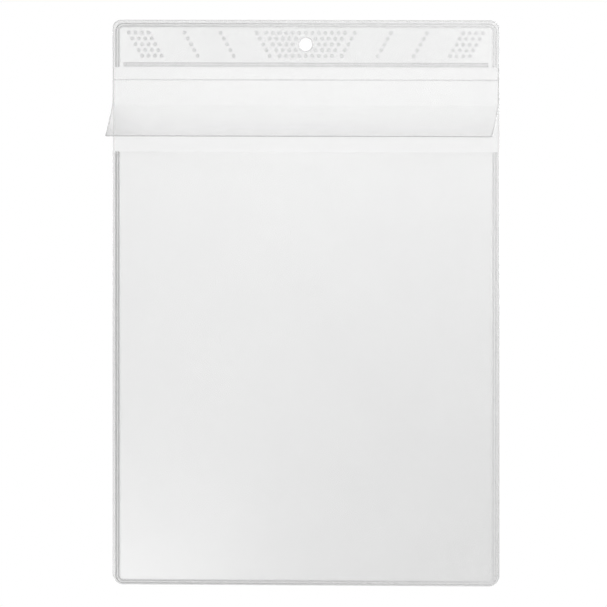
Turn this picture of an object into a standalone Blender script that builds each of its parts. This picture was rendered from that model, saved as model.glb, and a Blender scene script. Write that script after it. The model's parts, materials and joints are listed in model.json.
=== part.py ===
"""Clear document pocket that hangs from a punched hole.

Three films are welded together: a full back film, a front film that makes the pocket, and a
cover film whose upper part is the header band and whose lower part is a flap. The flap swings
on a crease over the mouth of the pocket. The welds are knurled bands and hexagonal spots.

Metres, +Z up. The sheet stands in the XZ plane and its front faces -Y. The origin is the
centre of the hanging hole, halfway between the two layers of film.

Run it with: blender --background --python part.py
"""

import math

import bmesh
import bpy
from mathutils import Matrix

# Sheet
SHEET_WIDTH = 0.236
SHEET_HEIGHT = 0.340
TOP_CORNER_RADIUS = 0.005
BOTTOM_CORNER_RADIUS = 0.0065
FILM_THICKNESS = 0.0003
LAYER_GAP = 0.0003
EDGE_GAP = 0.0003

# Hanging hole
HOLE_DIAMETER = 0.008
HOLE_FROM_TOP = 0.0146

# Header band and flap
HEADER_HEIGHT = 0.036
FLAP_FLAT_LENGTH = 0.011
FLAP_BEND_RADIUS = 0.006
FLAP_BEND_ANGLE = math.radians(46)
FLAP_CURL_LENGTH = 0.0295
FLAP_CURL_ANGLE = math.radians(11)
FLAP_CORNER_RADIUS = 0.001

# Pocket
MOUTH_FROM_TOP = 0.0792
MOUTH_GAPE = 0.0065

# Welded seams
SEAM_WIDTH = 0.003
SEAM_CORNER_RADIUS = 0.002
SIDE_MARGIN = 0.0015
TOP_MARGIN = 0.0017
BOTTOM_MARGIN = 0.0005
BOND_GAP = 0.0001
LOWER_SEAM_FROM_TOP = 0.0254
LOWER_SEAM_END_GAP = 0.002
KNURL_PITCH = 0.002
KNURL_HEIGHT = 0.00015

# Hexagonal spot welds of the header
SPOT_PITCH = 0.004
SPOT_WIDTH = 0.0024
SPOT_FLOOR_WIDTH = 0.0014
SPOT_DEPTH = 0.00015
SPOT_ROWS = 5
SPOTS_FROM_TOP = 0.0077
SPOT_CLEARANCE = 0.0003
CENTRE_SPOTS = 13
SINGLE_SPOTS_AT = (0.030, 0.052, 0.074)
END_SPOTS_AT = 0.096
END_SPOT_COLUMNS = 4

# Smoothness
CORNER_STEPS = 6
HOLE_STEPS = 40
BEND_STEPS = 6
CURL_STEPS = 6
POCKET_COLUMNS = 16
POCKET_ROWS = 12

# Planes and levels that follow from the sizes
HALF_WIDTH = SHEET_WIDTH / 2
TOP_Z = HOLE_FROM_TOP
BOTTOM_Z = TOP_Z - SHEET_HEIGHT
CREASE_Z = TOP_Z - HEADER_HEIGHT
MOUTH_Z = TOP_Z - MOUTH_FROM_TOP
LOWER_SEAM_TOP_Z = TOP_Z - LOWER_SEAM_FROM_TOP
LOWER_SEAM_BOTTOM_Z = LOWER_SEAM_TOP_Z - SEAM_WIDTH
LAYER_Y = (LAYER_GAP + FILM_THICKNESS) / 2
FRONT_Y = -LAYER_GAP / 2 - FILM_THICKNESS
SEAM_BACK_Y = LAYER_GAP / 2 - BOND_GAP
SEAM_INSET = SIDE_MARGIN + SEAM_WIDTH
FRONT_HALF_WIDTH = HALF_WIDTH - SEAM_INSET - EDGE_GAP
LOWER_SEAM_HALF = HALF_WIDTH - SEAM_INSET - LOWER_SEAM_END_GAP


def clear_scene():
    for obj in list(bpy.data.objects):
        bpy.data.objects.remove(obj, do_unlink=True)


def new_collection(name):
    collection = bpy.data.collections.new(name)
    bpy.context.scene.collection.children.link(collection)
    return collection


def plastic(name, colour, roughness, alpha):
    """A clear plastic: colour, roughness and how much of it shows."""
    material = bpy.data.materials.new(name)
    material.use_nodes = True
    shader = material.node_tree.nodes["Principled BSDF"]
    shader.inputs["Base Color"].default_value = (*colour, 1)
    shader.inputs["Roughness"].default_value = roughness
    shader.inputs["Metallic"].default_value = 0
    shader.inputs["Alpha"].default_value = alpha
    return material


def finish_part(obj, collection, parent, material):
    """Put a piece in the collection, under its empty, with its material and smooth shading."""
    collection.objects.link(obj)
    obj.parent = parent
    obj.data.materials.append(material)
    if obj.type == "MESH":
        obj.data.shade_smooth()
        obj.data.set_sharp_from_angle(angle=math.radians(30))
    return obj


def arc(centre_x, centre_z, radius, start, end, steps):
    """Points on a circle from one angle to another, both ends included."""
    angles = [start + (end - start) * i / steps for i in range(steps + 1)]
    return [(centre_x + radius * math.cos(a), centre_z + radius * math.sin(a)) for a in angles]


def sheet_outline():
    """The cut edge of the whole sheet, anticlockwise from the top right corner."""
    corners = (
        (1, TOP_Z - TOP_CORNER_RADIUS, TOP_CORNER_RADIUS, 0),
        (-1, TOP_Z - TOP_CORNER_RADIUS, TOP_CORNER_RADIUS, 1),
        (-1, BOTTOM_Z + BOTTOM_CORNER_RADIUS, BOTTOM_CORNER_RADIUS, 2),
        (1, BOTTOM_Z + BOTTOM_CORNER_RADIUS, BOTTOM_CORNER_RADIUS, 3),
    )
    points = []
    for side, centre_z, radius, quarter in corners:
        start = quarter * math.pi / 2
        centre_x = side * (HALF_WIDTH - radius)
        points += arc(centre_x, centre_z, radius, start, start + math.pi / 2, CORNER_STEPS)
    return points


def hole_outline():
    return arc(0, 0, HOLE_DIAMETER / 2, 0, 2 * math.pi, HOLE_STEPS)[:-1]


def header_outline():
    """Inside the header seam at the top, and the full width of the sheet below the seam's ends."""
    radius = SEAM_CORNER_RADIUS - EDGE_GAP
    centre_x = FRONT_HALF_WIDTH - radius
    centre_z = TOP_Z - TOP_MARGIN - SEAM_WIDTH - EDGE_GAP - radius
    shoulder_z = LOWER_SEAM_BOTTOM_Z - EDGE_GAP
    bottom_z = CREASE_Z + EDGE_GAP / 2
    right = [(HALF_WIDTH, bottom_z), (HALF_WIDTH, shoulder_z), (FRONT_HALF_WIDTH, shoulder_z)]
    right += arc(centre_x, centre_z, radius, 0, math.pi / 2, CORNER_STEPS)
    left = [(-x, z) for x, z in reversed(right)]
    return right + left


def lower_seam_slot():
    """The room that the header film leaves for the straight seam."""
    half = LOWER_SEAM_HALF + EDGE_GAP
    high = LOWER_SEAM_TOP_Z + EDGE_GAP
    low = LOWER_SEAM_BOTTOM_Z - EDGE_GAP
    return [(half, low), (half, high), (-half, high), (-half, low)]


def film_plate(name, loops, y_centre):
    """A film of the given outlines as a mesh: the first is its edge, the others are cut-outs."""
    curve = bpy.data.curves.new(name, "CURVE")
    curve.dimensions = "2D"
    curve.fill_mode = "BOTH"
    curve.extrude = FILM_THICKNESS / 2
    for loop in loops:
        spline = curve.splines.new("POLY")
        spline.points.add(len(loop) - 1)
        spline.use_cyclic_u = True
        for point, (x, z) in zip(spline.points, loop):
            point.co = (x, z, 0, 1)
    flat = bpy.data.objects.new(name + "_outline", curve)
    bpy.context.scene.collection.objects.link(flat)
    graph = bpy.context.evaluated_depsgraph_get()
    mesh = bpy.data.meshes.new_from_object(flat.evaluated_get(graph))
    bpy.data.objects.remove(flat, do_unlink=True)
    bm = bmesh.new()
    bm.from_mesh(mesh)
    bmesh.ops.remove_doubles(bm, verts=bm.verts, dist=1e-6)
    bm.to_mesh(mesh)
    bm.free()
    mesh.name = name
    plate = bpy.data.objects.new(name, mesh)
    plate.rotation_euler.x = math.pi / 2
    plate.location.y = y_centre
    return plate


def spot_places():
    """Centres of the spot welds. Each row lies half a pitch nearer the middle than the last."""
    places = []
    for row in range(SPOT_ROWS):
        z = TOP_Z - SPOTS_FROM_TOP - row * SPOT_PITCH * math.sqrt(3) / 2
        shift = row * SPOT_PITCH / 2
        count = CENTRE_SPOTS - row
        xs = [(i - (count - 1) / 2) * SPOT_PITCH for i in range(count)]
        columns = list(SINGLE_SPOTS_AT)
        columns += [END_SPOTS_AT + i * SPOT_PITCH for i in range(END_SPOT_COLUMNS)]
        for x in columns:
            xs += [x - shift, shift - x]
        places += [(x, z) for x in xs]
    clear = HOLE_DIAMETER / 2 + SPOT_WIDTH / 2 + SPOT_CLEARANCE
    return [(x, z) for x, z in places if math.hypot(x, z) > clear]


def spot_cutter(collection):
    """One mesh of small hexagonal cones, which presses the spots into the front of the header."""
    bm = bmesh.new()
    to_front = Matrix.Rotation(math.pi / 2, 3, "X")
    for x, z in spot_places():
        made = bmesh.ops.create_cone(
            bm,
            cap_ends=True,
            segments=6,
            radius1=SPOT_FLOOR_WIDTH / 2,
            radius2=SPOT_WIDTH - SPOT_FLOOR_WIDTH / 2,
            depth=2 * SPOT_DEPTH,
        )
        bmesh.ops.rotate(bm, verts=made["verts"], matrix=to_front)
        bmesh.ops.translate(bm, verts=made["verts"], vec=(x, FRONT_Y, z))
    mesh = bpy.data.meshes.new("spot_cutter")
    bm.to_mesh(mesh)
    bm.free()
    cutter = bpy.data.objects.new("spot_cutter", mesh)
    cutter.hide_render = True
    cutter.display_type = "WIRE"
    collection.objects.link(cutter)
    return cutter


def even_steps(start, end):
    """Values from start to end, about one knurl pitch apart, both ends included."""
    count = max(1, round(abs(end - start) / KNURL_PITCH))
    return [start + (end - start) * i / count for i in range(count + 1)]


def corner_rails(end_z, inward, end_margin, sheet_radius, reach):
    """Three matched lines round half of a seam, from its open end to the middle of the sheet.

    The lines are the cut edge of the sheet and the seam's outer and inner edges. Depths are
    measured from the cut edge end_z into the sheet, and inward is +1 upwards or -1 downwards.
    """
    lines = (
        (0, 0, sheet_radius),
        (SIDE_MARGIN, end_margin, SEAM_CORNER_RADIUS + SEAM_WIDTH),
        (SEAM_INSET, end_margin + SEAM_WIDTH, SEAM_CORNER_RADIUS),
    )
    corner_depth = max(end + radius for _, end, radius in lines)
    corner_x = min(HALF_WIDTH - side - radius for side, _, radius in lines)
    rails = []
    for side, end, radius in lines:
        rail = [(HALF_WIDTH - side, depth) for depth in even_steps(reach, corner_depth)]
        centre_x = HALF_WIDTH - side - radius
        half_step = math.pi / 4 / CORNER_STEPS
        for x, depth in arc(0, 0, radius, -half_step, half_step - math.pi / 2, CORNER_STEPS - 1):
            rail.append((centre_x + x, end + radius + depth))
        rail += [(x, end) for x in even_steps(corner_x, 0)]
        rails.append([(x, end_z + inward * depth) for x, depth in rail])
    return rails


def seam_band(name, rails, margins):
    """A pressed band between matched lines, with a pyramid on each knurl cell of its front.

    The first strips, as many as margins says, are left plain. The band is half of a symmetric
    seam, open at the middle of the sheet, and Mirror makes the other half.
    """
    bm = bmesh.new()
    knurled = bm.faces.layers.int.new("knurled")
    rows = [[bm.verts.new((x, SEAM_BACK_Y, z)) for x, z in rail] for rail in rails]
    for strip in range(len(rows) - 1):
        near, far = rows[strip], rows[strip + 1]
        for i in range(len(near) - 1):
            face = bm.faces.new((near[i], near[i + 1], far[i + 1], far[i]))
            face[knurled] = strip >= margins
    front = bmesh.ops.extrude_face_region(bm, geom=bm.faces[:])["geom"]
    moved = [item for item in front if isinstance(item, bmesh.types.BMVert)]
    bmesh.ops.translate(bm, verts=moved, vec=(0, FRONT_Y - SEAM_BACK_Y, 0))
    bmesh.ops.recalc_face_normals(bm, faces=bm.faces[:])
    middle = [face for face in bm.faces if all(abs(vert.co.x) < 1e-9 for vert in face.verts)]
    bmesh.ops.delete(bm, geom=middle, context="FACES_ONLY")
    cells = [face for face in bm.faces if face[knurled] and face.normal.y < -0.5]
    bmesh.ops.poke(bm, faces=cells, offset=KNURL_HEIGHT)
    mesh = bpy.data.meshes.new(name)
    bm.to_mesh(mesh)
    bm.free()
    band = bpy.data.objects.new(name, mesh)
    mirror = band.modifiers.new("other half", "MIRROR")
    mirror.use_axis = (True, False, False)
    mirror.merge_threshold = 1e-5
    return band


def pocket_seam():
    rails = corner_rails(
        BOTTOM_Z, 1, BOTTOM_MARGIN, BOTTOM_CORNER_RADIUS, SHEET_HEIGHT - MOUTH_FROM_TOP
    )
    return seam_band("pocket_seam", rails, 1)


def header_seam():
    reach = LOWER_SEAM_FROM_TOP + SEAM_WIDTH
    rails = corner_rails(TOP_Z, -1, TOP_MARGIN, TOP_CORNER_RADIUS, reach)
    return seam_band("header_seam", rails, 1)


def header_lower_seam():
    xs = even_steps(LOWER_SEAM_HALF, 0)
    rails = [[(x, z) for x in xs] for z in (LOWER_SEAM_TOP_Z, LOWER_SEAM_BOTTOM_Z)]
    return seam_band("header_lower_seam", rails, 0)


def header_film(cutters):
    film = film_plate(
        "header_film", (header_outline(), hole_outline(), lower_seam_slot()), -LAYER_Y
    )
    press = film.modifiers.new("spot welds", "BOOLEAN")
    press.operation = "DIFFERENCE"
    press.solver = "EXACT"
    press.object = spot_cutter(cutters)
    return film


def back_film():
    return film_plate("back_film", (sheet_outline(), hole_outline()), LAYER_Y)


def pocket_film():
    """The front of the pocket. It lies flat along its seams and bows forward at the mouth."""
    low = BOTTOM_Z + BOTTOM_MARGIN + SEAM_WIDTH + EDGE_GAP
    height = MOUTH_Z - low
    bm = bmesh.new()
    bmesh.ops.create_grid(bm, x_segments=POCKET_COLUMNS, y_segments=POCKET_ROWS, size=1)
    for vert in bm.verts:
        across, up = vert.co.x, (vert.co.y + 1) / 2
        bow = MOUTH_GAPE * math.cos(across * math.pi / 2) ** 2 * math.sin(up * math.pi / 2)
        vert.co = (across * FRONT_HALF_WIDTH, -LAYER_Y - bow, low + up * height)
    corners = [
        vert
        for vert in bm.verts
        if len(vert.link_edges) == 2 and vert.co.z < (low + MOUTH_Z) / 2
    ]
    bmesh.ops.bevel(
        bm,
        geom=corners,
        offset=SEAM_CORNER_RADIUS - EDGE_GAP,
        offset_type="OFFSET",
        segments=CORNER_STEPS,
        profile=0.5,
        affect="VERTICES",
    )
    mesh = bpy.data.meshes.new("pocket_film")
    bm.to_mesh(mesh)
    bm.free()
    film = bpy.data.objects.new("pocket_film", mesh)
    thickness = film.modifiers.new("thickness", "SOLIDIFY")
    thickness.thickness = FILM_THICKNESS
    thickness.offset = 0
    return film


def flap_profile():
    """Middle of the film from the crease down: straight, then a bend, then a slow curl.

    Pairs of y and z from the hinge line, which lies on the front face of the header film.
    """
    y = FILM_THICKNESS / 2
    z = -EDGE_GAP / 2
    points = [(y, z), (y, -FLAP_FLAT_LENGTH)]
    z = -FLAP_FLAT_LENGTH
    heading = 0
    stretches = (
        (FLAP_BEND_RADIUS * FLAP_BEND_ANGLE, FLAP_BEND_ANGLE, BEND_STEPS),
        (FLAP_CURL_LENGTH, FLAP_CURL_ANGLE, CURL_STEPS),
    )
    for length, turn, steps in stretches:
        for _ in range(steps):
            heading += turn / steps / 2
            y -= length / steps * math.sin(heading)
            z -= length / steps * math.cos(heading)
            heading += turn / steps / 2
            points.append((y, z))
    return points


def flap_film():
    """The curled flap: its profile carried across the sheet, with the film's thickness."""
    bm = bmesh.new()
    profile = [bm.verts.new((-HALF_WIDTH, y, z)) for y, z in flap_profile()]
    edges = [bm.edges.new(pair) for pair in zip(profile, profile[1:])]
    across = bmesh.ops.extrude_edge_only(bm, edges=edges)["geom"]
    moved = [item for item in across if isinstance(item, bmesh.types.BMVert)]
    bmesh.ops.translate(bm, verts=moved, vec=(SHEET_WIDTH, 0, 0))
    lowest = min(vert.co.z for vert in bm.verts)
    bmesh.ops.bevel(
        bm,
        geom=[vert for vert in bm.verts if vert.co.z < lowest + 1e-6],
        offset=FLAP_CORNER_RADIUS,
        offset_type="OFFSET",
        segments=CORNER_STEPS,
        profile=0.5,
        affect="VERTICES",
    )
    bmesh.ops.recalc_face_normals(bm, faces=bm.faces[:])
    mesh = bpy.data.meshes.new("flap_film")
    bm.to_mesh(mesh)
    bm.free()
    film = bpy.data.objects.new("flap_film", mesh)
    thickness = film.modifiers.new("thickness", "SOLIDIFY")
    thickness.thickness = FILM_THICKNESS
    thickness.offset = 0
    return film


def new_empty(name, collection, location):
    empty = bpy.data.objects.new(name, None)
    empty.location = location
    collection.objects.link(empty)
    return empty


def build():
    clear_scene()
    parts = new_collection("sheet_protector")
    cutters = new_collection("cutters")
    clear_film = plastic("clear_film", (0.93, 0.94, 0.95), 0.12, 0.3)
    cover_film = plastic("cover_film", (0.92, 0.93, 0.94), 0.15, 0.35)
    front_film = plastic("front_film", (0.90, 0.91, 0.92), 0.15, 0.35)
    flap_plastic = plastic("flap_plastic", (0.88, 0.89, 0.90), 0.15, 0.4)
    weld = plastic("weld", (0.72, 0.73, 0.74), 0.4, 0.7)

    hanging_point = new_empty("hanging_point", parts, (0, 0, 0))
    crease = new_empty("crease", parts, (0, FRONT_Y, CREASE_Z))
    crease.parent = hanging_point

    finish_part(back_film(), parts, hanging_point, clear_film)
    finish_part(header_film(cutters), parts, hanging_point, cover_film)
    finish_part(pocket_film(), parts, hanging_point, front_film)
    finish_part(flap_film(), parts, crease, flap_plastic)
    for seam in (pocket_seam(), header_seam(), header_lower_seam()):
        finish_part(seam, parts, hanging_point, weld)


build()
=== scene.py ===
# %% [markdown]
# # A clear document pocket that hangs from a hole
#
# The real thing is made of three cut films of clear plastic. The back film is the whole sheet.
# The front film is the pocket. The cover film is the band at the top, and its lower part is a
# flap that folds on a crease over the pocket's mouth. Heated tools press the films together in
# knurled bands and in small hexagonal spots.
#
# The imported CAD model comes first, because it fixes every place and size. Each film and weld
# below is a finer surface in the place of its CAD node.

# %% Load the frame
import json
import math

import bpy
import numpy as np
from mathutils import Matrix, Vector


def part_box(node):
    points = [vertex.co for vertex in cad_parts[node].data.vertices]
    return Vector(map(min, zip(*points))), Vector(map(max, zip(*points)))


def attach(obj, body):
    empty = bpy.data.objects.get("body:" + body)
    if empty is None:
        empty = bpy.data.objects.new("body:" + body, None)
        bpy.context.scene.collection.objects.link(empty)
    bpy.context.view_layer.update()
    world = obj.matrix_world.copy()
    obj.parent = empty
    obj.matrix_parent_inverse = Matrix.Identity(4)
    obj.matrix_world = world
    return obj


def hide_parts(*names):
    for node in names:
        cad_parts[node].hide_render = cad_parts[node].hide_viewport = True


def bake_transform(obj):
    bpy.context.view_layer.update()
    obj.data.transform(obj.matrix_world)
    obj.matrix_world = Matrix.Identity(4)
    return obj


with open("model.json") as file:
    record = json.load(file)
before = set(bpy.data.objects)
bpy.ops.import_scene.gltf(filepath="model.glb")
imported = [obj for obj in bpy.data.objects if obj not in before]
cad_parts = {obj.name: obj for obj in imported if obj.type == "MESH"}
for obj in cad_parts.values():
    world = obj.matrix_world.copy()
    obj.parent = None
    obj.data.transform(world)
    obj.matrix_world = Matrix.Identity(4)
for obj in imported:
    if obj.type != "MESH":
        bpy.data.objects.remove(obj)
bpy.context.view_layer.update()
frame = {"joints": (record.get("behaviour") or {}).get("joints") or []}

MM = 0.001

# %% [markdown]
# ## Sizes
#
# A film is cut flat, so its outline is known in millimetres before it is bent. The extents come
# from the CAD nodes themselves. Only the sizes that a box can't tell, such as a radius, are
# written here again.

# %% Sizes in metres
sheet_low, sheet_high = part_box("back_film")
HALF_WIDTH = sheet_high.x
TOP_Z = sheet_high.z
BOTTOM_Z = sheet_low.z
FILM = sheet_high.y - sheet_low.y
FRONT_Y = -sheet_high.y
MIDDLE_Y = FRONT_Y + FILM / 2
MOUTH_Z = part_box("pocket_film")[1].z
bar_low, bar_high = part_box("header_lower_seam")
CREASE_Z = frame["joints"][0]["pos_m"][2]
HOLE_RADIUS = 4 * MM
TOP_RADIUS = 5 * MM
BOTTOM_RADIUS = 6.5 * MM
SIDE_MARGIN = 1.5 * MM
TOP_MARGIN = 1.7 * MM
BOTTOM_MARGIN = 0.5 * MM
WELD_WIDTH = 3 * MM
WELD_CORNER = 2 * MM
RIM = 0.5 * MM
INNER_X = HALF_WIDTH - SIDE_MARGIN - WELD_WIDTH
INNER_TOP_Z = TOP_Z - TOP_MARGIN - WELD_WIDTH
INNER_BOTTOM_Z = BOTTOM_Z + BOTTOM_MARGIN + WELD_WIDTH
print("sheet in mm:", round(2 * HALF_WIDTH / MM), "x", round((TOP_Z - BOTTOM_Z) / MM))
print("crease at", round(CREASE_Z / MM, 2), "mm, mouth at", round(MOUTH_Z / MM, 2), "mm")

# %% [markdown]
# ## How a film becomes a mesh
#
# A film is thin but it is still a solid, with a front, a back and a cut edge. It could be a
# plane with a Solidify modifier, but then the rounded corners and the hole would have to be cut
# into it. Here a film starts as a grid of numbers instead, with one row of places across for
# each height. Cells that aren't film are left out, the rest gets a second layer, and every side
# of a cell that has no neighbour gets a wall.


# %% Lines of a grid
def ladder(stops, steps):
    """Values through all the stops, evenly spaced between two neighbours, about a step apart.

    steps is one number, or one for each run between two stops.
    """
    runs = [
        np.linspace(a, b, max(1, round(abs(b - a) / step)) + 1)[:-1]
        for a, b, step in zip(stops, stops[1:], np.broadcast_to(steps, len(stops) - 1))
    ]
    return np.concatenate([*runs, stops[-1:]])


def mirrored(half):
    """Lines that run from the left edge to 0, and their mirror images up to the right edge."""
    return np.concatenate((half, -half[-2::-1]))


print("a ladder from 0 over 2 to 8:", ladder([0, 2, 8], [1, 3]))

# %% A mesh from arrays
SHARP_ANGLE = math.radians(35)


def new_mesh(name, points, faces, worked, flat):
    """A mesh object from points and from arrays of triangles and quads.

    worked, from 0 to 1, says how far the plastic was pressed or cut at each point, and is kept
    as the attribute named pressed. flat holds each point's place on the flat film, and is kept
    as the UV map named flat.
    """
    mesh = bpy.data.meshes.new(name)
    corners = np.concatenate([group.ravel() for group in faces])
    sizes = np.concatenate([np.full(len(group), group.shape[1]) for group in faces])
    mesh.vertices.add(len(points))
    mesh.vertices.foreach_set("co", points.ravel())
    mesh.loops.add(len(corners))
    mesh.loops.foreach_set("vertex_index", corners)
    mesh.polygons.add(len(sizes))
    mesh.polygons.foreach_set("loop_start", np.cumsum(sizes) - sizes)
    mesh.update(calc_edges=True)
    attribute = mesh.attributes.new("pressed", "FLOAT", "POINT")
    attribute.data.foreach_set("value", worked.astype(np.float32))
    uv = mesh.uv_layers.new(name="flat")
    uv.data.foreach_set("uv", flat[corners].astype(np.float32).ravel())
    mesh.shade_smooth()
    mesh.set_sharp_from_angle(angle=SHARP_ANGLE)
    piece = bpy.data.objects.new(name, mesh)
    bpy.context.scene.collection.objects.link(piece)
    size = (points.max(0) - points.min(0)) / MM
    print(name, "has", len(sizes), "faces and measures", size.round(1), "mm")
    return piece


# %% A closed film from two layers of points
def closed_film(name, front, back, worked, flat, keep=None):
    """Front and back are grids of points, and keep says which cells between them are film.

    A cell's front face runs a, b, c, d anticlockwise and its back face runs the other way
    round. Where a kept cell meets one that isn't kept, a wall joins the two layers.
    """
    rows, columns = worked.shape
    if keep is None:
        keep = np.ones((rows - 1, columns - 1), bool)
    index = np.arange(rows * columns).reshape(rows, columns)
    deep = index + rows * columns
    a, b, c, d = index[:-1, :-1], index[:-1, 1:], index[1:, 1:], index[1:, :-1]
    faces = [np.stack((a, b, c, d), -1)[keep], np.stack((a, d, c, b), -1)[keep] + deep[0, 0]]
    ring = np.pad(keep, 1)
    under, over = ring[:-1, 1:-1], ring[1:, 1:-1]
    left, right = ring[1:-1, :-1], ring[1:-1, 1:]
    p, q, p2, q2 = index[:, :-1], index[:, 1:], deep[:, :-1], deep[:, 1:]
    faces.append(np.stack((q, p, p2, q2), -1)[over & ~under])
    faces.append(np.stack((p, q, q2, p2), -1)[under & ~over])
    p, q, p2, q2 = index[:-1], index[1:], deep[:-1], deep[1:]
    faces.append(np.stack((p, q, q2, p2), -1)[right & ~left])
    faces.append(np.stack((q, p, p2, q2), -1)[left & ~right])
    used, faces = np.unique(np.concatenate(faces), return_inverse=True)
    points = np.concatenate((front.reshape(-1, 3), back.reshape(-1, 3)))
    both_worked = np.tile(worked.ravel(), 2)
    places = np.tile(flat.reshape(-1, 2), (2, 1))
    return new_mesh(name, points[used], [faces.reshape(-1, 4)], both_worked[used], places[used])


def two_layers(middle):
    """The front and back of a film round its middle surface.

    The normal at a point is the cross product of the steps across and upwards there. It has
    length 1 and points to the front. Half the film's thickness goes each way along it.
    """
    normal = np.cross(np.gradient(middle, axis=1), np.gradient(middle, axis=0))
    normal /= np.linalg.norm(normal, axis=-1, keepdims=True)
    return middle + normal * FILM / 2, middle - normal * FILM / 2


# %% [markdown]
# ## Round corners and a round hole in a square grid
#
# A grid has square corners, and a punched hole isn't square either. A Boolean could cut both,
# but it leaves long thin faces. The concentric map is kinder: it pushes each square ring of
# points onto a circle and spaces them evenly, so the rim keeps its width all the way round.


# %% The concentric map
def to_disc(p, q):
    """The square ring at distance r becomes a circle of radius r.

    The larger of p and q is the radius. The smaller divided by the larger, times 45 degrees, is
    the angle from the nearer axis.
    """
    wide = np.abs(p) >= np.abs(q)
    radius = np.where(wide, p, q)
    safe = np.where(radius == 0, 1, radius)
    angle = np.where(wide, math.pi / 4 * q / safe, math.pi / 2 - math.pi / 4 * p / safe)
    return radius * np.cos(angle), radius * np.sin(angle)


def round_corners(x, z, half_width, end_z, up, radius):
    """Rounds both corners at one end of a film: up is 1 for its top and -1 for its bottom."""
    centre_x = half_width - radius
    centre_z = end_z - up * radius
    p = np.abs(x) - centre_x
    q = up * (z - centre_z)
    disc_p, disc_q = to_disc(p, q)
    inside = (p > 0) & (q > 0)
    new_x = np.where(inside, np.sign(x) * (centre_x + disc_p), x)
    return new_x, np.where(inside, centre_z + up * disc_q, z)


# %% The hanging hole
HOLE_REACH = 8 * MM
HOLE_STOPS = (-HOLE_REACH, -HOLE_RADIUS, HOLE_RADIUS, HOLE_REACH)
HOLE_STEP = 0.8 * MM
HAIR = 0.001 * MM


def open_hole(x, z):
    """Turns the square rings round the origin into circles.

    The ring at the hole's radius becomes a full circle. The change fades evenly outwards and is
    gone at HOLE_REACH, where the rings are square again.
    """
    ring = np.maximum(np.abs(x), np.abs(z))
    share = np.clip((HOLE_REACH - ring) / (HOLE_REACH - HOLE_RADIUS), 0, 1)
    disc_x, disc_z = to_disc(x, z)
    return x + share * (disc_x - x), z + share * (disc_z - z)


def hole_lines(lines):
    """The same grid lines with close ones round the hole."""
    near = ladder(HOLE_STOPS, HOLE_STEP)
    return np.concatenate((lines[lines < near[0] - HAIR], near, lines[lines > near[-1] + HAIR]))


def cell_centres(x, z):
    """The middle of each cell of a grid that is still square."""
    return (x[:-1, :-1] + x[:-1, 1:]) / 2, (z[:-1, :-1] + z[1:, :-1]) / 2


def from_hole(x, z):
    """How far outside the hole a place lies in the square grid, negative inside it."""
    return np.maximum(np.abs(x), np.abs(z)) - HOLE_RADIUS


def rim(distance, width=RIM):
    """1 from a cut edge up to width inside it, 0 further in. At width 0 only the edge is 1."""
    return (distance < width + HAIR).astype(float)


print(len(hole_lines(np.array([]))), "grid lines each way round the hole")

# %% [markdown]
# ## The back film
#
# It is one flat sheet with the hanging hole. Its grid lines lie closest at the rim, in the
# corners and round the hole. Light that runs inside a clear film leaves it at the cut edge, so
# the rim shows as a fine grey line, fainter on this film than on the ones in front and hardly
# there round the pocket, where the cut is cleaner. The attribute named pressed marks that rim,
# and the material makes it darker.

# %% Make the back film
BACK_RIM = 0.3
POCKET_RIM = 0.12
HOLE_RIM = 0.5
GRID_STEP = 5 * MM
CORNER_STEP = 0.75 * MM
close_to_far = [RIM, CORNER_STEP, GRID_STEP]
left_stops = [-HALF_WIDTH, -HALF_WIDTH + RIM, -HALF_WIDTH + BOTTOM_RADIUS, 0]
low_stops = [BOTTOM_Z, BOTTOM_Z + RIM, BOTTOM_Z + BOTTOM_RADIUS, -HOLE_REACH]
high_stops = [TOP_Z - TOP_RADIUS, TOP_Z - RIM, TOP_Z]
across = hole_lines(mirrored(ladder(left_stops, close_to_far)))
below, above = ladder(low_stops, close_to_far), ladder(high_stops, [CORNER_STEP, RIM])
x, z = np.meshgrid(across, hole_lines(np.concatenate((below, above))))
keep = from_hole(*cell_centres(x, z)) >= 0
edge = np.minimum(HALF_WIDTH - np.abs(x), np.minimum(TOP_Z - z, z - BOTTOM_Z))
cut = np.where(z > MOUTH_Z, BACK_RIM, POCKET_RIM)
worked = np.maximum(cut * rim(edge), HOLE_RIM * rim(from_hole(x, z), 0))
x, z = round_corners(x, z, HALF_WIDTH, TOP_Z, 1, TOP_RADIUS)
x, z = round_corners(x, z, HALF_WIDTH, BOTTOM_Z, -1, BOTTOM_RADIUS)
x, z = open_hole(x, z)
flat = np.stack((x, z), -1)
front = np.stack((x, np.full_like(x, sheet_low.y), z), -1)
back = np.stack((x, np.full_like(x, sheet_high.y), z), -1)
film_back = closed_film("film_back", front, back, worked, flat, keep)

# %% [markdown]
# ## The cover film
#
# The header band and the flap are one piece of film. It is cut flat, and only then does it
# take its shape: straight down past the crease, a tight bend forward, and a long slow curl to
# the free edge. So the grid is laid out flat first, with its hole and corners, and a profile
# bends it last. The profile is found by walking down it in short steps while the heading turns.
# Between its welds the header has painted shade, least at its ends, which stay light like a
# highlight.
# The flap's lower left corner gets painted shade as well, more along its curl.

# %% The flap's profile
FLAP_STRAIGHT = 11 * MM
BEND_RADIUS = 6 * MM
BEND_TURN = math.radians(46)
BEND_LENGTH = BEND_RADIUS * BEND_TURN
CURL_LENGTH = 29.5 * MM
CURL_TURN = math.radians(11)
FLAP_LENGTH = FLAP_STRAIGHT + BEND_LENGTH + CURL_LENGTH
WALK_STEPS = 2000


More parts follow.
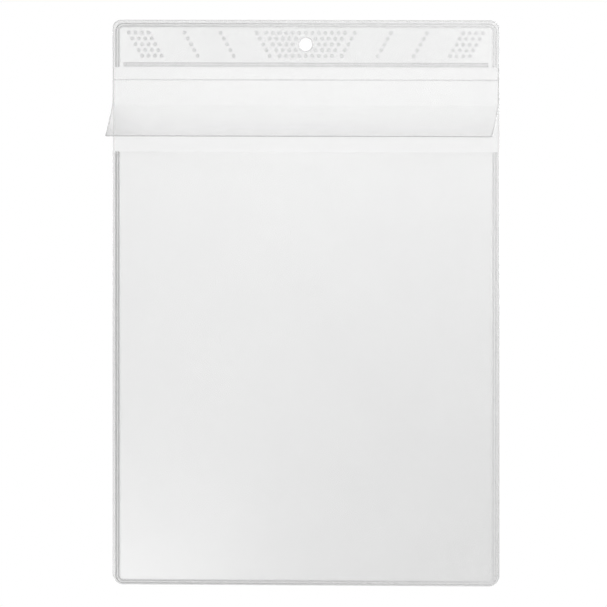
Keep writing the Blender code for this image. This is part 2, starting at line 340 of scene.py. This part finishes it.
def flap_profile(down):
    """y and z of the film's middle at a distance down from the crease.

    The heading is 0 on the straight, grows evenly to 46 degrees over the bend and by 11 more
    over the curl. Each short step goes by the sine of the heading forward and by its cosine
    down, and the running sum of the steps is the place.
    """
    walk = np.linspace(0, FLAP_LENGTH, WALK_STEPS)
    stops = np.cumsum([0, FLAP_STRAIGHT, BEND_LENGTH, CURL_LENGTH])
    heading = np.interp(walk, stops, [0, 0, BEND_TURN, BEND_TURN + CURL_TURN])
    steps = np.diff(walk)
    between = (heading[1:] + heading[:-1]) / 2
    forward = np.concatenate(([0], np.cumsum(steps * np.sin(between))))
    lower = np.concatenate(([0], np.cumsum(steps * np.cos(between))))
    y = MIDDLE_Y - np.interp(down, walk, forward)
    z = CREASE_Z - np.interp(down, walk, lower)
    return y, np.where(down > 0, z, CREASE_Z - down)


forward = FRONT_Y - flap_profile(FLAP_LENGTH)[0]
print("flap", round(FLAP_LENGTH / MM, 1), "mm long, reaches", round(forward / MM, 1), "mm forward")

# %% The cover film's grid
FLAP_CORNER = 1 * MM
CURL_STEP = 1.5 * MM
BEND_STEP = 0.4 * MM
STRAIGHT_STEP = 2.5 * MM
CREASE_SPAN = 1.5 * MM
CREASE_STEP = 0.15 * MM
HEADER_STEP = 2 * MM
FREE_Z = CREASE_Z - FLAP_LENGTH
BEND_LOW_Z = CREASE_Z - FLAP_STRAIGHT - BEND_LENGTH
BEND_HIGH_Z = CREASE_Z - FLAP_STRAIGHT
flap_stops = [FREE_Z, FREE_Z + FLAP_CORNER, BEND_LOW_Z, BEND_HIGH_Z, CREASE_Z - CREASE_SPAN]
flap_steps = [RIM, CURL_STEP, BEND_STEP, STRAIGHT_STEP]
header_stops = [CREASE_Z + CREASE_SPAN, bar_low.z, -HOLE_REACH]
header_steps = [CREASE_STEP, HEADER_STEP, HEADER_STEP]
left_stops = [-HALF_WIDTH, -HALF_WIDTH + FLAP_CORNER, -INNER_X, -INNER_X + WELD_CORNER, 0]
across = hole_lines(mirrored(ladder(left_stops, [RIM, GRID_STEP, RIM, GRID_STEP])))
below = ladder(flap_stops + header_stops, flap_steps + header_steps)
above = ladder([INNER_TOP_Z - WELD_CORNER, INNER_TOP_Z], RIM)
x, z = np.meshgrid(across, hole_lines(np.concatenate((below, above))))
centre_x, centre_z = cell_centres(x, z)
beside_band = (np.abs(centre_x) > INNER_X) & (centre_z > bar_low.z)
keep = (from_hole(centre_x, centre_z) >= 0) & ~beside_band
print("grid of", x.shape[0], "by", x.shape[1], "points")

# %% How far the cover film was worked, and where shade is painted on it
SIDE_RIM = 0.45
FREE_RIM = 0.72
CREASE_WORKED = 0.5
CREASE_WIDTH = 0.35 * MM
# painted shade over the header's middle, fading out at its ends
HEADER_PAINTED_SHADE = 0.13
HEADER_SHADE_FADE = 4
# painted shade on the flap's lower left corner, and how far in it reaches
CORNER_PAINTED_SHADE = 0.45
CORNER_SHADE_REACH = 8 * MM
crease = np.exp(-(((z - CREASE_Z) / CREASE_WIDTH) ** 2))
curl = np.clip((BEND_HIGH_Z - z) / (BEND_LENGTH + CURL_LENGTH), 0, 1)
header_painted_shade = 1 - (x / HALF_WIDTH) ** HEADER_SHADE_FADE
worked = np.maximum.reduce(
    [
        SIDE_RIM * rim(HALF_WIDTH - np.abs(x)),
        FREE_RIM * rim(z - FREE_Z),
        HOLE_RIM * rim(from_hole(x, z), 0),
        CREASE_WORKED * crease,
        # the header's painted shade, its light ends standing in for a highlight
        HEADER_PAINTED_SHADE * np.where(z > bar_high.z, header_painted_shade, 0),
        # painted shade on the flap's lower left corner, growing along the curl
        CORNER_PAINTED_SHADE * curl * np.exp(-(x + HALF_WIDTH) / CORNER_SHADE_REACH),
    ]
)
print(np.count_nonzero(worked > HEADER_PAINTED_SHADE), "points are worked harder than the header")

# %% Bend and close the cover film
CREASE_DEPTH = 0.12 * MM
x, z = round_corners(x, z, HALF_WIDTH, FREE_Z, -1, FLAP_CORNER)
x, z = round_corners(x, z, INNER_X, INNER_TOP_Z, 1, WELD_CORNER)
x, z = open_hole(x, z)
flat = np.stack((x, z), -1)
bent_y, bent_z = flap_profile(CREASE_Z - z)
middle = np.stack((x, bent_y + CREASE_DEPTH * crease, bent_z), -1)
film_cover = closed_film("film_cover", *two_layers(middle), worked, flat, keep)

# %% [markdown]
# ## The pocket film
#
# This film is welded on three sides and open at the top. A flat film against a flat film would
# leave no mouth, so it bows forward: nothing along the welds, most in the middle of the mouth.
# Its free edge is a clean cut that hardly shows, so nothing on it is marked as pressed.

# %% Make the pocket film
MOUTH_GAPE = FRONT_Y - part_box("pocket_film")[0].y
POCKET_STEP = 3.5 * MM


def pocket_bow(x, z):
    """How far the film stands forward, on top of lying flat.

    Across the pocket it follows a squared cosine, which is 1 in the middle and runs out flat at
    the welds. Upwards it follows a sine from 0 at the bottom weld to 1 at the mouth.
    """
    up = (z - INNER_BOTTOM_Z) / (MOUTH_Z - INNER_BOTTOM_Z)
    return MOUTH_GAPE * np.cos(x / INNER_X * math.pi / 2) ** 2 * np.sin(up * math.pi / 2)


left_stops = [-INNER_X, -INNER_X + WELD_CORNER, 0]
low_stops = [INNER_BOTTOM_Z, INNER_BOTTOM_Z + WELD_CORNER, MOUTH_Z - RIM, MOUTH_Z]
across = mirrored(ladder(left_stops, [RIM, POCKET_STEP]))
x, z = np.meshgrid(across, ladder(low_stops, [RIM, POCKET_STEP, RIM]))
worked = np.zeros_like(x)
x, z = round_corners(x, z, INNER_X, INNER_BOTTOM_Z, -1, WELD_CORNER)
flat = np.stack((x, z), -1)
middle = np.stack((x, MIDDLE_Y - pocket_bow(x, z), z), -1)
film_pocket = closed_film("film_pocket", *two_layers(middle), worked, flat)

# %% [markdown]
# ## The welded bands
#
# The welding tool is a heated metal strip with a knurled face. It leaves two grooves, a
# straight one outside and a zigzag one inside, with a row of round lands between them. The band
# runs round corners, so it is a profile carried along a path. The path is a bundle of matched
# lines, the rails: the sheet's cut edge, the outer edge of the band and its inner edge. Every
# rail has the same number of points, and the surface is stretched between them.

# %% Rails round three sides
TOOTH_PITCH = 2 * MM
TOOTH_STEPS = 4


def steps_for(length):
    """How many steps fit a length, so that whole teeth of the zigzag fit too."""
    return TOOTH_STEPS * max(1, round(length / TOOTH_PITCH))


def rail(side, end, radius, open_z, end_z, counts):
    """One line of a seam: along one side, round a corner, across the end and back.

    side and end are its distances in from the sheet's sides and end. The corner is a quarter
    circle. counts gives the steps on a side, on a corner and across the end.
    """
    up = 1 if end_z > open_z else -1
    centre_x = HALF_WIDTH - side - radius
    centre_z = end_z - up * (end + radius)
    straight = np.linspace(open_z, centre_z, counts[0] + 1)[:-1]
    turn = np.linspace(0, math.pi / 2, counts[1] + 1)[:-1]
    over = np.linspace(centre_x, 0, counts[2] // 2 + 1)
    x = [np.full_like(straight, HALF_WIDTH - side), centre_x + radius * np.cos(turn), over]
    z = [straight, centre_z + up * radius * np.sin(turn), np.full_like(over, end_z - up * end)]
    x, z = np.concatenate(x), np.concatenate(z)
    return np.stack((np.concatenate((-x, x[-2::-1])), np.concatenate((z, z[-2::-1]))), -1)


print("steps across the sheet:", steps_for(2 * HALF_WIDTH))

# %% The knurl
GROOVE_DEPTH = 0.2 * MM
GROOVE_WIDTH = 0.36 * MM
OUTER_GROOVE = 0.5 * MM
INNER_GROOVE = 2.1 * MM
TOOTH = 0.4 * MM
LAND_HEIGHT = 0.12 * MM
LAND_WORKED = 0.12


def knurl(inward, along):
    """Height of the band's face and how hard it was pressed there.

    inward runs from 0 to the band's width, and along counts steps. The outer groove keeps its
    distance, and the inner one swings to and fro by a tooth with each pitch. A groove is a bell
    curve of the distance to its line. The land is half a sine wave across the band, and the
    grooves are taken out of it.
    """
    swing = 4 * np.abs(np.mod(along / TOOTH_STEPS, 1) - 0.5) - 1
    outer = np.exp(-(((inward - OUTER_GROOVE) / GROOVE_WIDTH) ** 2))
    inner = np.exp(-(((inward - INNER_GROOVE + TOOTH * swing) / GROOVE_WIDTH) ** 2))
    groove = np.maximum(outer, inner)
    land = np.sin(math.pi * inward / WELD_WIDTH) * (1 - groove)
    return LAND_HEIGHT * land - GROOVE_DEPTH * groove, groove + LAND_WORKED * land


# painted shade on the welds and spots, at the top and the bottom of each side
LEFT_PAINTED_SHADE = (0.8, 0.9)
RIGHT_PAINTED_SHADE = (0.5, 0.2)


def painted_weld_shade(x, z):
    """Painted shade for how light falls on the welds: darkest at the lower left, lightest at the
    lower right.

    Each side has its value at the top and at the bottom. Between them it changes evenly with
    height, and between the sides evenly across.
    """
    leftward = (HALF_WIDTH - x) / (2 * HALF_WIDTH)
    downward = (TOP_Z - z) / (TOP_Z - BOTTOM_Z)
    left = np.interp(downward, (0, 1), LEFT_PAINTED_SHADE)
    right = np.interp(downward, (0, 1), RIGHT_PAINTED_SHADE)
    return right + leftward * (left - right)


print("pressure at the hole, left and right:", painted_weld_shade(np.array([-HALF_WIDTH, HALF_WIDTH]), 0))

# %% A band between rails
WELD_REAR_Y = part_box("pocket_seam")[1].y
BAND_CELLS = 8
MARGIN_SHARES = (0, 0.32, 0.6)
MARGIN_WORKED = 0.08


def weld_band(name, rails, force, cut=0):
    """A closed band. The knurl lies between the last two rails.

    A third rail in front of them is the sheet's edge, and the strip up to it is the film
    outside the knurl. force is how hard the tool bears on this band, and cut is how far that
    edge counts as worked.

    Between two neighbouring rails a point is a weighted mean of theirs, with its share of the
    way as the weight. The front gets the knurl's height and the rear stays flat. The front has
    to face forward, so a grid that runs the other way round is turned about.
    """
    rails = np.array(rails)
    margin = len(rails) - 2
    share = margin + ladder([0, 1], 1 / BAND_CELLS)
    if margin:
        share = np.concatenate((MARGIN_SHARES, share))
    first = np.minimum(share.astype(int), len(rails) - 2)
    weight = (share - first)[:, None, None]
    grid = rails[first] * (1 - weight) + rails[first + 1] * weight
    inward = np.clip(share - margin, 0, 1) * WELD_WIDTH
    inward, along = np.meshgrid(inward, np.arange(grid.shape[1]), indexing="ij")
    height, worked = knurl(inward, along)
    # painted shade: the knurl's grey is scaled by place, darkest at the lower left
    worked *= force * painted_weld_shade(grid[..., 0], grid[..., 1])
    if margin:
        height[: len(MARGIN_SHARES)] = 0
        worked[: len(MARGIN_SHARES)] = MARGIN_WORKED
        worked[0] = cut
    front = np.stack((grid[..., 0], FRONT_Y - height, grid[..., 1]), -1)
    rear = np.stack((grid[..., 0], np.full_like(height, WELD_REAR_Y), grid[..., 1]), -1)
    backward = np.cross(front[0, 1] - front[0, 0], front[1, 0] - front[0, 0])[1] > 0
    if backward:
        front, rear, worked, grid = (part[:, ::-1] for part in (front, rear, worked, grid))
    return closed_film(name, front, rear, worked, grid)


# %% Make the three bands
POCKET_FORCE = 1
HEADER_FORCE = 0.9
BAR_FORCE = 0.4
POCKET_CUT = 0.08
HEADER_CUT = 0.3
bands = {}
for name, open_z, end_z, end_margin, radius, force, cut in (
    ("weld_pocket", MOUTH_Z, BOTTOM_Z, BOTTOM_MARGIN, BOTTOM_RADIUS, POCKET_FORCE, POCKET_CUT),
    ("weld_header", bar_low.z, TOP_Z, TOP_MARGIN, TOP_RADIUS, HEADER_FORCE, HEADER_CUT),
):
    counts = (
        steps_for(abs(end_z - open_z) - radius),
        steps_for(math.pi / 2 * (WELD_CORNER + WELD_WIDTH / 2)),
        steps_for(2 * (HALF_WIDTH - radius)),
    )
    lines = (
        (0, 0, radius),
        (SIDE_MARGIN, end_margin, WELD_CORNER + WELD_WIDTH),
        (SIDE_MARGIN + WELD_WIDTH, end_margin + WELD_WIDTH, WELD_CORNER),
    )
    rails = [rail(*line, open_z, end_z, counts) for line in lines]
    bands[name] = weld_band(name, rails, force, cut)

xs = np.linspace(-bar_high.x, bar_high.x, steps_for(2 * bar_high.x) + 1)
bar_rails = [np.stack((xs, np.full_like(xs, z)), -1) for z in (bar_high.z, bar_low.z)]
bands["weld_header_bar"] = weld_band("weld_header_bar", bar_rails, BAR_FORCE)

# %% [markdown]
# ## The spot welds
#
# A hundred and more little hexagons hold the header band together. Each is pressed by the end
# of a pin: a flat floor, a raised ring round it, and a slope down to the film. One hexagon is
# written as a few rings of six points, and numpy repeats it at all the places in one go.

# %% Where the spots are
SPOT_PITCH = 4 * MM
SPOT_ROWS = 5
SPOTS_TOP_Z = TOP_Z - 7.7 * MM
CENTRE_SPOTS = 13
SINGLE_COLUMNS = (30 * MM, 52 * MM, 74 * MM)
END_START = 96 * MM
END_COUNT = 4
SPOT_CLEARANCE = 1.5 * MM


def spot_places():
    """The centres. Each row lies half a pitch nearer to the middle than the row above it."""
    places = []
    end_columns = END_START + SPOT_PITCH * np.arange(END_COUNT)
    for row in range(SPOT_ROWS):
        count = CENTRE_SPOTS - row
        middle = (np.arange(count) - (count - 1) / 2) * SPOT_PITCH
        side = np.concatenate((SINGLE_COLUMNS, end_columns)) - row * SPOT_PITCH / 2
        xs = np.concatenate((middle, side, -side))
        z = SPOTS_TOP_Z - row * SPOT_PITCH * math.sqrt(3) / 2
        places.append(np.stack((xs, np.full_like(xs, z)), -1))
    places = np.concatenate(places)
    return places[np.hypot(*places.T) > HOLE_RADIUS + SPOT_CLEARANCE]


places = spot_places()
print(len(places), "spots")

# %% One spot
SIDES = 6
SPOT_RINGS = np.array([0.55, 0.85, 1.1, 1.3]) * MM
SPOT_HEIGHTS = np.array([0.02, 0.12, 0.12, 0]) * MM
SPOT_WORKED = np.array([0, 1, 0.9, 0])
TOP_CENTRE = SIDES * len(SPOT_RINGS)
REAR_CENTRE = TOP_CENTRE + 1
LAST_RING = TOP_CENTRE - SIDES
angles = np.arange(SIDES) * 2 * math.pi / SIDES
spot_x = np.append((SPOT_RINGS[:, None] * np.cos(angles)).ravel(), [0, 0])
spot_z = np.append((SPOT_RINGS[:, None] * np.sin(angles)).ravel(), [0, 0])
spot_height = np.append(np.repeat(SPOT_HEIGHTS, SIDES), [SPOT_HEIGHTS[0], 0])
spot_worked = np.append(np.repeat(SPOT_WORKED, SIDES), [SPOT_WORKED[0], 0])
corner = np.arange(SIDES)
after = (corner + 1) % SIDES
start = SIDES * np.arange(len(SPOT_RINGS) - 1)[:, None]
outward = start + SIDES
quads = np.stack((start + corner, outward + corner, outward + after, start + after), -1)
top_fan = np.stack((np.full(SIDES, TOP_CENTRE), corner, after), -1)
rear_fan = np.stack((np.full(SIDES, REAR_CENTRE), LAST_RING + after, LAST_RING + corner), -1)
print("a spot has", len(spot_x), "points and", quads.size // 4 + 2 * SIDES, "faces")

# %% All the spots
SPOT_GAP = 0.01 * MM
offset = (len(spot_x) * np.arange(len(places)))[:, None, None]
all_quads = (quads.reshape(-1, 4) + offset).reshape(-1, 4)
all_fans = (np.concatenate((top_fan, rear_fan)) + offset).reshape(-1, 3)
points = np.stack(
    (
        (places[:, :1] + spot_x).ravel(),
        np.tile(FRONT_Y - SPOT_GAP - spot_height, len(places)),
        (places[:, 1:] + spot_z).ravel(),
    ),
    -1,
)
# the spots get the same painted shade, darkest at the lower left
worked = np.tile(spot_worked, len(places)) * painted_weld_shade(points[:, 0], points[:, 2])
spots = new_mesh("weld_spots", points, [all_quads, all_fans], worked, points[:, ::2])

# %% [markdown]
# ## Which body carries which piece
#
# Everything hangs on the sheet, and the flap is the only part that moves.
# The cover film is parented to no body and keeps its place in the world.

# %% Ride and replace
for piece, node, slot in (
    (film_back, "back_film", "clear_film"),
    (film_pocket, "pocket_film", "front_film"),
    (bands["weld_pocket"], "pocket_seam", "weld"),
    (bands["weld_header"], "header_seam", "weld"),
    (bands["weld_header_bar"], "header_lower_seam", "weld"),
):
    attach(piece, "sheet")
    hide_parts(node)
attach(spots, "sheet")
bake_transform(film_cover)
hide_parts("header_film", "flap_film")

# %% [markdown]
# ## Plastic that was worked in places
#
# Clear film is nearly invisible. What shows is where it was worked: cut edges, the crease, the
# knurl and the spots bend the light away and look grey. All the materials share this, so it is
# one node group. It mixes the clear and the worked values by the pressed attribute, adds a soft
# haze and faint lines from the film's rolling, and hands out plain values only. The shader
# stays in each material.


# %% Small helpers for node trees
def socket(tree, name, in_out, kind):
    tree.interface.new_socket(name=name, in_out=in_out, socket_type=kind)


def math_node(tree, operation, first, second, third=None, clamp=False):
    node = tree.nodes.new("ShaderNodeMath")
    node.operation = operation
    node.use_clamp = clamp
    for place, value in enumerate((first, second, third)):
        if value is None:
            continue
        if isinstance(value, bpy.types.NodeSocket):
            tree.links.new(value, node.inputs[place])
        else:
            node.inputs[place].default_value = value
    return node.outputs[0]


def mix_value(tree, factor, low, high):
    """low + factor x (high - low)"""
    return math_node(tree, "MULTIPLY_ADD", factor, math_node(tree, "SUBTRACT", high, low), low)


def noise(tree, vector, scale, detail):
    node = tree.nodes.new("ShaderNodeTexNoise")
    node.inputs["Scale"].default_value = scale
    node.inputs["Detail"].default_value = detail
    tree.links.new(vector, node.inputs["Vector"])
    return node.outputs["Fac"]


# %% Node group for worked plastic
CLOUDS_PER_METRE = 22
LINES_PER_METRE = 900
LINE_SQUEEZE = 0.02
LINE_ROUGHNESS = 0.12
LINE_RELIEF = 0.3
GRAIN_PER_METRE = 2600
NOISE_MIDDLE = 0.5


def worked_plastic_group():
    """Alpha is the mix plus the clouds' haze, and roughness is the mix plus the lines' share.

    Height is a share of the lines plus the grain where the plastic was worked. The lines are a
    noise that is squeezed to a fiftieth upwards, so each blot becomes a long vertical streak.
    """
    tree = bpy.data.node_groups.new("Worked plastic", "ShaderNodeTree")
    socket(tree, "Clear Colour", "INPUT", "NodeSocketColor")
    socket(tree, "Worked Colour", "INPUT", "NodeSocketColor")
    for name in ("Clear Alpha", "Worked Alpha", "Clear Roughness", "Worked Roughness", "Haze"):
        socket(tree, name, "INPUT", "NodeSocketFloat")
    socket(tree, "Colour", "OUTPUT", "NodeSocketColor")
    for name in ("Alpha", "Roughness", "Height"):
        socket(tree, name, "OUTPUT", "NodeSocketFloat")
    given = tree.nodes.new("NodeGroupInput").outputs
    out = tree.nodes.new("NodeGroupOutput").inputs
    # pressed also carries painted shade: on the welds' sides, the header's middle and the flap's
    # corner
    pressed = tree.nodes.new("ShaderNodeAttribute")
    pressed.attribute_name = "pressed"
    amount = pressed.outputs["Fac"]
    place = tree.nodes.new("ShaderNodeUVMap")
    place.uv_map = "flat"
    clouds = noise(tree, place.outputs["UV"], CLOUDS_PER_METRE, 2)
    stretch = tree.nodes.new("ShaderNodeMapping")
    stretch.inputs["Scale"].default_value = (1, LINE_SQUEEZE, 1)
    tree.links.new(place.outputs["UV"], stretch.inputs["Vector"])
    lines = noise(tree, stretch.outputs["Vector"], LINES_PER_METRE, 1)
    grain = noise(tree, place.outputs["UV"], GRAIN_PER_METRE, 2)
    colour = tree.nodes.new("ShaderNodeMix")
    colour.data_type = "RGBA"
    tree.links.new(amount, colour.inputs["Factor"])
    tree.links.new(given["Clear Colour"], colour.inputs["A"])
    tree.links.new(given["Worked Colour"], colour.inputs["B"])
    tree.links.new(colour.outputs["Result"], out["Colour"])
    cloud_swing = math_node(tree, "SUBTRACT", clouds, NOISE_MIDDLE)
    haze = math_node(tree, "MULTIPLY", cloud_swing, given["Haze"])
    alpha = mix_value(tree, amount, given["Clear Alpha"], given["Worked Alpha"])
    tree.links.new(math_node(tree, "ADD", alpha, haze, clamp=True), out["Alpha"])
    line_swing = math_node(tree, "SUBTRACT", lines, NOISE_MIDDLE)
    rough = mix_value(tree, amount, given["Clear Roughness"], given["Worked Roughness"])
    rough = math_node(tree, "MULTIPLY_ADD", line_swing, LINE_ROUGHNESS, rough, clamp=True)
    tree.links.new(rough, out["Roughness"])
    fine = math_node(tree, "MULTIPLY", grain, amount)
    tree.links.new(math_node(tree, "MULTIPLY_ADD", lines, LINE_RELIEF, fine), out["Height"])
    print("group with", len(tree.nodes), "nodes")
    return tree


worked_plastic = worked_plastic_group()

# %% [markdown]
# ## The materials
#
# Each one is a Principled shader whose Alpha is the film's own haze. A film seen edge-on shows
# much more of itself, because the light goes a longer way through it and the surface mirrors
# more. Layer Weight's Facing output is 0 straight on and 1 edge-on, and its fourth power is
# added to the alpha.

# %% A plastic
PLASTIC_IOR = 1.53
EDGE_ON_POWER = 4
EDGE_ON_ALPHA = 3.9
RELIEF_HEIGHT = 0.05 * MM


def plastic(name, clear, worked, haze, bump):
    """clear and worked are each a grey level, an alpha and a roughness.

    haze is how much the alpha varies in soft clouds, and bump is the strength of the relief.
    """
    material = bpy.data.materials.new(name)
    material.use_nodes = True
    tree = material.node_tree
    shader = tree.nodes["Principled BSDF"]
    shader.inputs["IOR"].default_value = PLASTIC_IOR
    group = tree.nodes.new("ShaderNodeGroup")
    group.node_tree = worked_plastic
    for state, (grey, alpha, roughness) in (("Clear", clear), ("Worked", worked)):
        group.inputs[f"{state} Colour"].default_value = (grey, grey, grey, 1)
        group.inputs[f"{state} Alpha"].default_value = alpha
        group.inputs[f"{state} Roughness"].default_value = roughness
    group.inputs["Haze"].default_value = haze
    tree.links.new(group.outputs["Colour"], shader.inputs["Base Color"])
    tree.links.new(group.outputs["Roughness"], shader.inputs["Roughness"])
    facing = tree.nodes.new("ShaderNodeLayerWeight")
    edge_on = math_node(tree, "POWER", facing.outputs["Facing"], EDGE_ON_POWER)
    alpha = math_node(tree, "MULTIPLY_ADD", edge_on, EDGE_ON_ALPHA, group.outputs["Alpha"])
    tree.links.new(math_node(tree, "MINIMUM", alpha, 1), shader.inputs["Alpha"])
    relief = tree.nodes.new("ShaderNodeBump")
    relief.inputs["Strength"].default_value = bump
    relief.inputs["Distance"].default_value = RELIEF_HEIGHT
    tree.links.new(group.outputs["Height"], relief.inputs["Height"])
    tree.links.new(relief.outputs["Normal"], shader.inputs["Normal"])
    return material


# %% Make and assign the materials
back_plastic = plastic("back plastic", (0.86, 0.28, 0.22), (0.5, 0.5, 0.3), 0.02, 0.1)
cover_plastic = plastic("cover plastic", (0.86, 0.055, 0.2), (0.4, 0.6, 0.3), 0.03, 0.1)
front_plastic = plastic("front plastic", (0.86, 0.06, 0.2), (0.5, 0.4, 0.3), 0.02, 0.1)
weld_plastic = plastic("weld plastic", (0.86, 0.06, 0.25), (0.2, 0.95, 0.4), 0.03, 0.4)
spot_plastic = plastic("spot plastic", (0.86, 0.03, 0.25), (0.3, 0.6, 0.35), 0.03, 0.3)
for piece, material in (
    (film_back, back_plastic),
    (film_cover, cover_plastic),
    (film_pocket, front_plastic),
    (spots, spot_plastic),
    *((band, weld_plastic) for band in bands.values()),
):
    piece.data.materials.append(material)
print(len(bpy.data.materials), "materials")

# %% [markdown]
# ## Floor, background and light
#
# The sheet hangs in front of plain white. The world is white for rays that come from the camera
# or off a shiny surface, and a softer grey for the light it sends onto the film. The floor lies
# well below and gets little light, so it glows a little for those same rays to look pale. It is
# left out from underneath, so that a camera under it still sees the sheet.


# %% Which rays see the background
def seen(tree):
    """1 for rays from the camera, off a shiny surface or through glass, and 0 for all others."""
    rays = tree.nodes.new("ShaderNodeLightPath").outputs
    direct = math_node(tree, "MAXIMUM", rays["Is Camera Ray"], rays["Is Glossy Ray"])
    return math_node(tree, "MAXIMUM", direct, rays["Is Transmission Ray"])


def choose(tree, factor, off, on, end):
    """Joins one shader where the factor is 0 and another where it is 1 to the tree's end."""
    choice = tree.nodes.new("ShaderNodeMixShader")
    tree.links.new(factor, choice.inputs["Fac"])
    tree.links.new(off, choice.inputs[1])
    tree.links.new(on, choice.inputs[2])
    tree.links.new(choice.outputs["Shader"], tree.nodes[end].inputs["Surface"])


# %% Floor
FLOOR_Z = BOTTOM_Z - 220 * MM
FLOOR_SIDE = 2.4
FLOOR_GREY = 0.9
FLOOR_ROUGHNESS = 0.8
FLOOR_GLOW = 0.5
bpy.ops.mesh.primitive_plane_add(size=FLOOR_SIDE, location=(0, 0, FLOOR_Z))
floor = bpy.context.object
floor.name = "floor"
paint = bpy.data.materials.new("floor paint")
paint.use_nodes = True
tree = paint.node_tree
shader = tree.nodes["Principled BSDF"]
shader.inputs["Base Color"].default_value = (FLOOR_GREY, FLOOR_GREY, FLOOR_GREY, 1)
shader.inputs["Roughness"].default_value = FLOOR_ROUGHNESS
glow = tree.nodes.new("ShaderNodeEmission")
tree.links.new(math_node(tree, "MULTIPLY", seen(tree), FLOOR_GLOW), glow.inputs["Strength"])
lit = tree.nodes.new("ShaderNodeAddShader")
tree.links.new(shader.outputs["BSDF"], lit.inputs[0])
tree.links.new(glow.outputs["Emission"], lit.inputs[1])
underneath = tree.nodes.new("ShaderNodeNewGeometry").outputs["Backfacing"]
clear = tree.nodes.new("ShaderNodeBsdfTransparent").outputs["BSDF"]
choose(tree, underneath, lit.outputs["Shader"], clear, "Material Output")
floor.data.materials.append(paint)
print("floor at", round(FLOOR_Z / MM), "mm")

# %% World
WORLD_LIGHT = 0.1
WHITE = (1, 1, 1, 1)
world = bpy.data.worlds.new("studio")
bpy.context.scene.world = world
world.use_nodes = True
tree = world.node_tree
soft = tree.nodes["Background"]
soft.inputs["Color"].default_value = WHITE
soft.inputs["Strength"].default_value = WORLD_LIGHT
white = tree.nodes.new("ShaderNodeBackground")
white.inputs["Color"].default_value = WHITE
white.inputs["Strength"].default_value = 1
backgrounds = soft.outputs["Background"], white.outputs["Background"]
choose(tree, seen(tree), *backgrounds, "World Output")
print("world gives", WORLD_LIGHT, "as light")

# %% Lamps
SHEET_MIDDLE = Vector((0, 0, (TOP_Z + BOTTOM_Z) / 2))
for name, place, width, height, power in (
    ("upper softbox", (0, -0.3, 0.16), 0.9, 0.2, 0.95),
    ("middle softbox", (0.05, -0.3, 0), 0.6, 0.2, 0.53),
    ("lower left softbox", (-0.22, -0.45, -0.4), 0.2, 0.2, 0.5),
    ("corner softbox", (-0.25, -0.15, -0.45), 0.1, 0.1, 0.31),
    ("rear softbox", (0.3, 1.2, 0.2), 0.8, 0.8, 8),
):
    light = bpy.data.lights.new(name, "AREA")
    light.shape = "RECTANGLE"
    light.size = width
    light.size_y = height
    light.energy = power
    lamp = bpy.data.objects.new(name, light)
    lamp.location = place
    lamp.rotation_mode = "QUATERNION"
    lamp.rotation_quaternion = (SHEET_MIDDLE - Vector(place)).to_track_quat("-Z", "Y")
    lamp.visible_camera = False
    bpy.context.scene.collection.objects.link(lamp)
    print(name, "at", place, "with", power, "W")

# %% [markdown]
# ## The camera
#
# The flap's free edge shows a little to the left of the sheet, so the camera stood slightly to
# the right. Both ends of the sheet are equally wide, so it stood far back with a long lens. The
# view takes in 365 mm.

# %% Camera
AZIMUTH = math.radians(10)
ELEVATION = math.radians(1.2)
DISTANCE = 16
VIEW_WIDTH = 365 * MM
AIM_RIGHT = -1.4 * MM
AIM_UP = -0.4 * MM
aim = SHEET_MIDDLE + Vector((AIM_RIGHT, 0, AIM_UP))
toward = Vector(
    (
        math.sin(AZIMUTH) * math.cos(ELEVATION),
        -math.cos(AZIMUTH) * math.cos(ELEVATION),
        math.sin(ELEVATION),
    )
)
lens = bpy.data.cameras.new("camera")
lens.lens = lens.sensor_width * DISTANCE / VIEW_WIDTH
camera = bpy.data.objects.new("camera", lens)
camera.location = aim + DISTANCE * toward
camera.rotation_mode = "QUATERNION"
camera.rotation_quaternion = (-toward).to_track_quat("-Z", "Y")
bpy.context.scene.collection.objects.link(camera)
bpy.context.scene.camera = camera
bpy.context.scene.view_settings.view_transform = "Standard"
print("lens", round(lens.lens), "mm")
